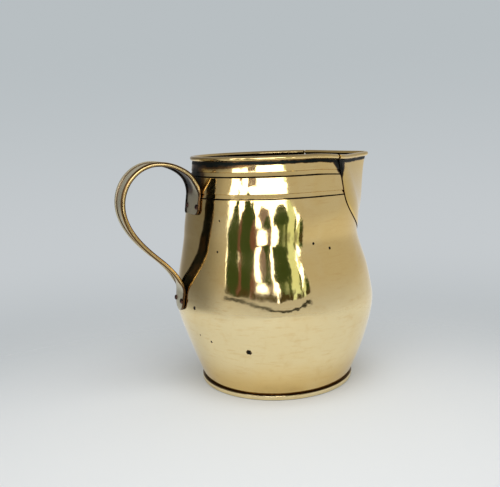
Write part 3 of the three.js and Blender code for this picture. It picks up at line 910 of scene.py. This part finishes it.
def stand_off(height):
    rise = smoothstep(height, lower_leave_height, upper_leave_height)
    return blend(lower_stand_off, upper_stand_off, rise)


def seat_point(height):
    return np.array((-body_radius(height) - stand_off(height), height))


def wall_fall(height):
    """How much smaller the body gets for each millimetre upwards."""
    return (body_radius(height - groove_width) - body_radius(height + groove_width)) / (2 * groove_width)


def seat_way(height):
    way = np.array((wall_fall(height), 1))
    return way / np.linalg.norm(way)


def seat_line(end, leave):
    easing = [1 - math.cos(math.pi / 2 * i / seat_steps) for i in range(seat_steps)]
    return [seat_point(blend(end, leave, share)) for share in easing]


def handle_line():
    left = np.array((-1, 0))
    up = np.array((0, 1))
    inwards = np.array((math.cos(turn_angle), -math.sin(turn_angle)))
    top, side, turn = (np.array(point, float) for point in (handle_top, handle_side, handle_turn))
    upper = seat_point(upper_leave_height)
    lower = seat_point(lower_leave_height)
    curves = (
        (upper, upper + seat_way(upper_leave_height) * upper_pull, top - left * top_in_pull, top),
        (top, top + left * top_out_pull, side + up * side_pull, side),
        (side, side - up * side_pull, turn - inwards * turn_over_pull, turn),
        (turn, turn + inwards * turn_under_pull, lower + seat_way(lower_leave_height) * lower_pull, lower),
    )
    loop = [bezier(curve, share) for curve in curves for share in np.linspace(0, 1, loop_steps)[1:]]
    upper_seat = seat_line(upper_end_height, upper_leave_height)
    lower_seat = seat_line(lower_end_height, lower_leave_height)
    return upper_seat + [upper] + loop + lower_seat[::-1]


def corner_loss(from_end, corner):
    inside = max(0, corner - from_end)
    return corner - math.sqrt(corner**2 - inside**2)


def handle_stations():
    """Along the strap: its middle and outward way, how far its edges are rolled, its width and wrap."""
    line = np.array(handle_line())
    lengths = np.concatenate([[0], np.cumsum(np.linalg.norm(np.diff(line, axis=0), axis=1))])
    total = lengths[-1]
    upper_seat = upper_leave_height - upper_end_height
    lower_seat = lower_leave_height - lower_end_height
    stations = []
    for i, point in enumerate(line):
        way = line[min(len(line) - 1, i + 1)] - line[max(0, i - 1)]
        way = way / np.linalg.norm(way)
        from_upper, from_lower = lengths[i], total - lengths[i]
        rolled = min(
            smoothstep(from_upper, upper_plate_length, upper_plate_length + opening_length),
            smoothstep(from_lower, lower_plate_length, lower_plate_length + opening_length),
        )
        wrap = max(
            1 - smoothstep(from_upper, upper_seat, upper_seat + wrap_fade),
            1 - smoothstep(from_lower, lower_seat, lower_seat + wrap_fade),
        )
        share = from_upper / total
        radius = blend(flat_roll_radius, roll_radius, rolled)
        lost = corner_loss(from_upper, upper_corner) + corner_loss(from_lower, lower_corner)
        stations.append({
            "middle": point,
            "out": np.array((way[1], -way[0])),
            "rolled": rolled,
            "wrap": wrap,
            "roll_radius": radius,
            "from_upper": from_upper,
            "half": blend(upper_width, lower_width, share**taper_power) / 2 - radius - lost,
            "lean": blend(upper_lean, lower_lean, share),
        })
    return stations


def on_strap(station, across, height):
    """A place on the strap's section, bent round the body where the strap lies on it."""
    middle, out = station["middle"], station["out"]
    seat_radius = body_radius(middle[1]) + stand_off(middle[1])
    side = across - station["lean"]
    sag = seat_radius - math.sqrt(seat_radius**2 - side**2)
    return (middle[0] + out[0] * height + station["wrap"] * sag, side, middle[1] + out[1] * height)


def strap_section(station):
    """Points of one section with how dark each is, from tarnish and painted shade, and whether it lies on
    the dulled face.
    """
    offset = blend(flat_roll_radius - sheet / 2, 0, station["rolled"])
    half = station["half"]
    edge = rolled_edge(offset, station["roll_radius"])
    face = [2 * i / web_steps - 1 for i in range(1, web_steps)]
    reach = half + edge[0][0]
    back_reach = half + edge[-1][0]
    points = [(reach * across, sheet / 2) for across in face]
    points += [(half + x, -y - offset) for x, y in edge]
    points += [(back_reach * across, -sheet / 2) for across in face[::-1]]
    points += [(-half - x, -y - offset) for x, y in edge[::-1]]
    flat = flat_roll_stain * (1 - station["rolled"])
    roll_stains = []
    # Painted shade in the crease where each roll leaves the face, a painted dark reflection line along the
    # roll, and tarnish with painted shade on its hollow side.
    for i in range(len(edge)):
        turn = i / len(edge)
        crease = max(1 - smoothstep(turn, 0, crease_share), hump(turn, dark_line_share, crease_share))
        hollow = smoothstep(turn, hollow_start_share, hollow_full_share)
        roll_stains.append(max(hollow_stain * hollow, crease_stain * crease, flat))
    # The hollow face darkens with painted shade and tarnish away from the upper end, sooner on the far
    # side; its grey green fades as it does.
    near_hollow_shading = smoothstep(station["from_upper"], near_shade_start, near_shade_full)
    far_hollow_shading = smoothstep(station["from_upper"], far_shade_start, far_shade_full)
    back_stains = []
    for across in face[::-1]:
        near = smoothstep(-across, near_start_share, near_full_share)
        back_stains.append(blend(plate_stain, hollow_stain, blend(far_hollow_shading, near_hollow_shading, near)))
    stains = [0] * len(face) + roll_stains + back_stains + roll_stains[::-1]
    dull = [1] * len(face) + [far_roll_dull] * len(edge)
    dull += [1 - near_hollow_shading] * len(face) + [roll_dull] * len(edge)
    return points, stains, dull


handle_brass = brass(
    "handle_brass", deep=handle_deep_brass, pale=handle_pale_brass, dullness=0.07, crevice=0,
    wobble=strap_dent_depth, mottling=strap_mottle_size,
)
strap = handle_stations()
strap_sections = [strap_section(station) for station in strap]
strap_rings = [
    [on_strap(station, x, y) for x, y in points]
    for station, (points, _, _) in zip(strap, strap_sections)
]
strap_stains = [stain for _, stains, _ in strap_sections for stain in stains]
strap_dull = [value for _, _, dull in strap_sections for value in dull]
handle = loft("strap_handle", strap_rings, handle_brass, stain=strap_stains, dull=strap_dull)
hand_finished(handle, strap_sharp_angle)
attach(handle, "root")
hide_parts("handle_strap")

# Rivets: four of soft copper, two through each end of the handle, with low hammered heads gone dark.
# Each is turned by the same tree of nodes as the body: head, stem, and the tail spread inside the wall.
# A row has its height, half the way between its rivets, and the strap's lean and stand-off there.
shank_radius = 1.2
head_radius = 2.0
head_height = 1.2
tail_radius = 2
tail_height = 0.8
rivet_rows = (
    ("upper", 143.5, 9.4, upper_lean, upper_stand_off),
    ("lower", 72.2, 6.7, lower_lean, lower_stand_off),
)
rivet_sides = 40
dome_steps = 10


def rivet_outline(head_seat):
    tail_seat = -sheet - gap
    dome = np.linspace(0, math.pi / 2, dome_steps + 1)
    return (
        [(0, tail_seat - tail_height), (shank_radius, tail_seat - tail_height)]
        + [(tail_radius, tail_seat - tail_height / 2), (tail_radius, tail_seat), (shank_radius, tail_seat)]
        + [(shank_radius, head_seat)]
        + [(head_radius * math.cos(turn), head_seat + head_height * math.sin(turn)) for turn in dome]
    )


def rivet_place(height, across):
    radius = body_radius(height)
    turn = math.asin(across / radius)
    tilt = math.atan(wall_fall(height))
    outwards = Vector((-math.cos(turn) * math.cos(tilt), math.sin(turn) * math.cos(tilt), math.sin(tilt)))
    place = Vector((-radius * math.cos(turn), radius * math.sin(turn), height)) * mm
    return Matrix.Translation(place) @ outwards.to_track_quat("Z", "Y").to_matrix().to_4x4()


def pitted(name, pit_size, pit_depth, dark, clean, spread, rough, metallic=1.0, **pattern):
    """Metal gone dark in small blotches, which are rougher and lie a little deeper than the rest."""
    make = Finish(bpy.data.materials.new(name))
    blotch = make.noise(make.place(), pit_size, **pattern)
    colour = make.mix(make.ramp(blotch, *spread), dark, clean)
    return make.metal(colour, metallic, make.ramp(blotch, 0.3, 0.7, *rough), blotch, pit_depth)


dark_copper = (0.025, 0.014, 0.012, 1)
clean_copper = (0.34, 0.15, 0.11, 1)
copper_pit_size, copper_pit_depth = 1.6, 0.2
rivet_copper = pitted(
    "rivet_copper", copper_pit_size, copper_pit_depth, dark_copper, clean_copper,
    spread=(0.45, 0.75), rough=(0.5, 0.22), detail=4,
)
for end, height, offset, lean, strap_seat in rivet_rows:
    for side, hand in ((1, "left"), (-1, "right")):
        outline = rivet_outline(strap_seat + sheet / 2 + gap)
        rivet = turned(f"{end}_{hand}_rivet", outline, rivet_copper, closed=False, sides=rivet_sides)
        rivet.data.transform(rivet_place(height, side * offset - lean))
        hand_finished(rivet)
        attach(rivet, "root")
        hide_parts(f"{end}_rivet_{hand}")

# Wires: drawn iron, one in each rolled edge, which shows only as a dark line in the slot of the roll.
# A tree of nodes draws each along the middle of its roll, and it stops short of the roll's ends.
wire_radius = 0.75
wire_end_inset = 1.5
wire_sides = 12
iron_pit_size, iron_pit_depth = 1.2, 0.1
black_iron = (0.03, 0.026, 0.024, 1)
rusty_iron = (0.11, 0.06, 0.035, 1)


def drawing_tree():
    sockets = {"Path": "Geometry", "Wire Radius": "Float", "Sides": "Int", "Material": "Material"}
    entry, add, finish = node_group("drawn_along_a_path", sockets, "Wire")
    path = add("GeometryNodeMeshToCurve", {"Mesh": entry["Path"]}).outputs["Curve"]
    links = {"Resolution": entry["Sides"], "Radius": entry["Wire Radius"]}
    section = add("GeometryNodeCurvePrimitiveCircle", links).outputs["Curve"]
    links = {"Curve": path, "Profile Curve": section, "Fill Caps": True}
    return finish(add("GeometryNodeCurveToMesh", links).outputs["Mesh"])


def rim_wire_path():
    radius = mouth_radius - sheet / 2 + roll_offset
    start = spout_lap_angle + rim_joint_angle + wire_end_inset / radius
    angles = np.linspace(start, 2 * math.pi - start, turn_steps) + spout_turn
    return [(radius * math.cos(angle), radius * math.sin(angle), roll_height) for angle in angles]


def spout_wire_path():
    inset = spout_lap_angle - wire_end_inset / mouth_radius
    path = []
    for angle in np.linspace(-inset, inset, 2 * spout_half_columns):
        out = spout_normal(angle, roll_height) * (sheet / 2 + roll_offset)
        path.append(turned_about_z(spout_inner(angle, roll_height) + out, spout_turn))
    return path


def strap_wire_path(side):
    return [on_strap(station, side * station["half"], 0) for station in strap if station["rolled"] == 1]


drawn_along_a_path = drawing_tree()
wire_iron = pitted(
    "wire_iron", iron_pit_size, iron_pit_depth, black_iron, rusty_iron,
    spread=(0.4, 0.65), rough=(0.75, 0.5), metallic=0.8, detail=5, roughness=0.7,
)
wire_paths = {
    "rim_wire": rim_wire_path(),
    "spout_rim_wire": spout_wire_path(),
    "handle_wire_left": strap_wire_path(1),
    "handle_wire_right": strap_wire_path(-1),
}
for node_name, path in wire_paths.items():
    settings = {"Wire Radius": wire_radius * mm, "Sides": wire_sides, "Material": wire_iron}
    wire = made_by_nodes("drawn_" + node_name, path, False, drawn_along_a_path, settings)
    hand_finished(wire)
    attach(wire, "root")
    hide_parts(node_name)

# Floor: a pale sheet of card that fades into the surround, so that no edge or horizon shows.
floor_radius = 4000
floor_sides = 96
fade_middle = (-100, -240, 0)
fade_start, fade_end = 150, 550
floor_pale = (0.75, 0.77, 0.775, 1)


def make_floor():
    mesh = bpy.data.meshes.new("floor")
    ring = [(x * mm, y * mm, 0) for x, y in arc((0, 0), floor_radius, 0, 2 * math.pi, floor_sides)]
    mesh.from_pydata(ring[:-1], [], [tuple(range(floor_sides))])
    make = Finish(bpy.data.materials.new("floor_card"))
    far = make.distance(make.place(), Vector(fade_middle) * mm)
    card = make.node("BsdfDiffuse", {"Color": floor_pale})
    clear = make.node("BsdfTransparent")
    fade = make.ramp(far, fade_start * mm, fade_end * mm)
    both = make.node("MixShader", {0: fade, 1: card.outputs[0], 2: clear.outputs[0]})
    mesh.materials.append(make.finished(both.outputs[0]))
    shown_object("floor", mesh)


make_floor()

# Surround: a plain pale tent, a little darker overhead and behind the handle.
# The camera sees plain shades of it, each at its rise in degrees, with a band of painted shade where the
# floor curves up; polished metal sees its shape.
# Everything else sees plain fill light.
tent_shades = (
    (-40, (0.66, 0.69, 0.69, 1)), (-25, (0.62, 0.65, 0.66, 1)), (-18, (0.49, 0.52, 0.535, 1)),
    (-10, (0.56, 0.59, 0.61, 1)), (8, (0.48, 0.52, 0.54, 1)), (30, (0.44, 0.48, 0.50, 1)),
)
tent_plain = (0.57, 0.57, 0.56, 1)
tent_under = (0.80, 0.81, 0.80, 1)
tent_over = (0.36, 0.36, 0.36, 1)
tent_dark = (0.20, 0.20, 0.20, 1)
dark_side = math.radians(-142)
dark_way = (math.sin(dark_side), -math.cos(dark_side), 0)
dark_near, dark_far = math.radians(6), math.radians(68)
dark_low, dark_high = math.radians(-24), math.radians(-2)
under_full, under_end = math.radians(-20), math.radians(4)
over_start, over_full = math.radians(25), math.radians(60)
fill_shade = (0.53, 0.53, 0.53, 1)


def make_surround():
    world = bpy.data.worlds.new("surround")
    scene.world = world
    make = Finish(world)
    way = make.node("TexCoord").outputs["Generated"]
    rise = make.math("ARCSINE", make.node("SeparateXYZ", {0: way}).outputs[2])
    seen = tent_shades[0][1]
    for (low, _), (high, shade) in zip(tent_shades, tent_shades[1:]):
        seen = make.mix(make.ramp(rise, math.radians(low), math.radians(high)), seen, shade)
    tent = make.mix(make.ramp(rise, under_full, under_end), tent_under, tent_plain)
    tent = make.mix(make.ramp(rise, over_start, over_full), tent, tent_over)
    towards = make.node("VectorMath", {0: way, 1: dark_way}, operation="DOT_PRODUCT").outputs["Value"]
    behind = make.ramp(towards, math.cos(dark_far), math.cos(dark_near))
    tent = make.mix(make.times(behind, make.ramp(rise, dark_low, dark_high)), tent, tent_dark)
    rays = make.node("LightPath").outputs
    plain = make.mix(rays["Is Camera Ray"], fill_shade, seen)
    shown = make.mix(rays["Is Glossy Ray"], plain, tent)
    light = make.node("Background", {"Color": shown, "Strength": 1.0})
    make.finished(light.outputs[0], "OutputWorld")


make_surround()

# Window: the daylight opening that the polished brass mirrors, a curved card that only reflections see.
# White sky stands over a ragged line of garden: leaves and stems in green, taupe and brown. Each plant
# has the middle and the half of its width in degrees, its foot and top in millimetres, and its colour.
window_radius = 220
window_left, window_right = math.radians(-84), math.radians(22)
window_low, window_high = 56, 238
window_columns = 48
pane_left = math.radians(-73)
pane_right_low, pane_right_high = math.radians(11), math.radians(-5)
pane_low, pane_low_soft = 87, 3
pane_soft = math.radians(2.5)
sill_near, sill_far, sill_end = 3, 19, 6
sill_turn = math.radians(-8)
sill_half = 4.2
corner_rise = 12
lean_low, lean_high = 120, 205
leaf_soft = math.radians(1.2)
ripple_stretch = (1, 1, 0.4)
crinkle_size, waver_size = 16, 22
crinkle_turn = math.radians(7)
level_waver, edge_waver = 14, 8
speckle_start, speckle_full = math.radians(-14), math.radians(-4)
hedge_low, hedge_top = 98, 116
hedge_shade = (0.07, 0.055, 0.022, 1)
sky_white = (4.4, 4.6, 5.0, 1)
leaf_green = (0.050, 0.085, 0.028, 1)
olive = (0.10, 0.15, 0.06, 1)
taupe = (0.30, 0.25, 0.30, 1)
stem_brown = (0.20, 0.10, 0.09, 1)
pale_green = (0.9, 1.1, 0.8, 1)
sill_shade = (0.03, 0.03, 0.02, 1)
garden = (
    (-64, 8.0, 60, 170, leaf_green),
    (-55, 4.6, 60, 162, stem_brown),
    (-47, 8.0, 104, 174, leaf_green),
    (-42, 4.0, 60, 146, stem_brown),
    (-32, 9.5, 60, 169, taupe),
    (-28, 4.5, 123, 152, leaf_green),
    (-33, 5.5, 106, 125, sky_white),
    (-37, 3.4, 128, 150, sky_white),
    (-52, 2.6, 60, 121, sky_white),
    (-12, 8.0, 60, 148, olive),
    (-14, 8.5, 128, 171, leaf_green),
    (-12, 4.0, 60, 116, leaf_green),
    (-19, 2.6, 60, 131, sky_white),
    (0, 3.0, 60, 160, olive),
    (8, 3.5, 60, 150, leaf_green),
    (-62, 2.4, 60, 208, leaf_green),
    (-50, 5.5, 60, 205, leaf_green),
    (-4, 4.0, 60, 206, pale_green),
    (-60, 2.0, 214, 300, stem_brown),
    (-46, 5.5, 214, 300, taupe),
    (-6, 3.5, 214, 300, pale_green),
)


def garden_colour(make, angle, level):
    """White sky with each plant laid over it: a column with a rounded top."""
    colour = sky_white
    for middle, half, low, high, shade in garden:
        upwards = make.math("DIVIDE", make.minus(level, low * mm), (high - low) * mm)
        rounded = make.most(make.minus(1.0, make.math("POWER", upwards, 4.0)), 0.0)
        width = make.times(make.math("SQRT", rounded), math.radians(half))
        aside = make.absolute(make.minus(angle, math.radians(middle)))
        leaf = make.ramp(make.minus(width, aside), 0.0, leaf_soft)
        colour = make.mix(make.times(leaf, make.math("GREATER_THAN", upwards, 0.0)), colour, shade)
    return colour


def daylight():
    """Sky and garden inside the pane's wavering outline, a dark line under it, and nothing beyond."""
    make = Finish(bpy.data.materials.new("daylight"))
    place = make.place()
    x, y, z = make.node("SeparateXYZ", {0: place}).outputs
    stretched = make.scaled(place, ripple_stretch)
    crinkle = make.minus(make.noise(stretched, crinkle_size, detail=3), 0.5)
    waver = make.minus(make.noise(stretched, waver_size, detail=3, distortion=0.5), 0.5)
    angle = make.scaled_sum(crinkle, crinkle_turn, make.math("ARCTAN2", x, make.times(y, -1.0)))
    level = make.scaled_sum(waver, level_waver * mm, z)
    low_edge = make.scaled_sum(waver, edge_waver * mm, z)

    colour = garden_colour(make, angle, level)
    speckle = make.times(make.ramp(crinkle, -0.02, 0.04), make.ramp(angle, speckle_start, speckle_full))
    colour = make.mix(speckle, colour, pale_green)
    hedge = make.times(make.ramp(level, hedge_top * mm, hedge_low * mm), make.ramp(crinkle, 0.10, 0.02))
    colour = make.mix(hedge, colour, hedge_shade)

    from_left = make.ramp(angle, pane_left, pane_left + pane_soft)
    from_right = make.ramp(angle, pane_right_low, pane_right_low - pane_soft)
    right = make.ramp(z, lean_low * mm, lean_high * mm, pane_right_low, pane_right_high)
    pane = make.times(from_left, make.ramp(make.minus(right, angle), 0.0, pane_soft))
    from_middle = make.minus(angle, (pane_left + pane_right_low) / 2)
    to_corner = make.absolute(make.math("DIVIDE", from_middle, (pane_right_low - pane_left) / 2))
    rounded = make.scaled_sum(make.math("POWER", to_corner, 6.0), -corner_rise * mm, low_edge)
    pane = make.times(pane, make.ramp(rounded, pane_low * mm, (pane_low + pane_low_soft) * mm))

    drop = make.ramp(angle, pane_left, sill_turn, sill_near * mm, sill_far * mm)
    lift = make.ramp(angle, sill_turn, pane_right_low, 0.0, (sill_far - sill_end) * mm)
    from_sill = make.minus(make.math("ADD", low_edge, make.minus(drop, lift)), pane_low * mm)
    sill = make.ramp(make.absolute(from_sill), sill_half * mm, sill_half / 2 * mm)
    sill = make.times(make.times(sill, from_left), from_right)

    clear = make.node("BsdfTransparent")
    glow = make.node("Emission", {"Color": colour, "Strength": 1.0})
    shade = make.node("Emission", {"Color": sill_shade, "Strength": 1.0})
    under = make.node("MixShader", {0: sill, 1: clear.outputs[0], 2: shade.outputs[0]})
    both = make.node("MixShader", {0: pane, 1: under.outputs[0], 2: glow.outputs[0]})
    return make.finished(both.outputs[0])


def make_window():
    angles = np.linspace(window_left, window_right, window_columns)
    reach = window_radius * mm
    points = [
        (reach * math.sin(angle), -reach * math.cos(angle), z * mm)
        for z in (window_low, window_high) for angle in angles
    ]
    steps = range(window_columns - 1)
    mesh = bpy.data.meshes.new("window")
    mesh.from_pydata(points, [], [(i, i + 1, window_columns + i + 1, window_columns + i) for i in steps])
    mesh.materials.append(daylight())
    window = shown_object("window", mesh)
    for ray in ("camera", "diffuse", "transmission", "volume_scatter", "shadow"):
        setattr(window, "visible_" + ray, False)


make_window()

# Lamp: one broad soft box overhead, in front and to the left, which gives the jug its faint shadow.
lamp_place = (-100, -280, 600)
lamp_size = 500
lamp_power = 2.6


def make_lamp():
    data = bpy.data.lights.new("soft_box", "AREA")
    data.shape = "SQUARE"
    data.size = lamp_size * mm
    data.energy = lamp_power
    lamp = bpy.data.objects.new("soft_box", data)
    place = Vector(lamp_place) * mm
    lamp.location = place
    lamp.rotation_mode = "QUATERNION"
    lamp.rotation_quaternion = (-place).to_track_quat("-Z", "Y")
    lamp.visible_glossy = False
    scene.collection.objects.link(lamp)


make_lamp()
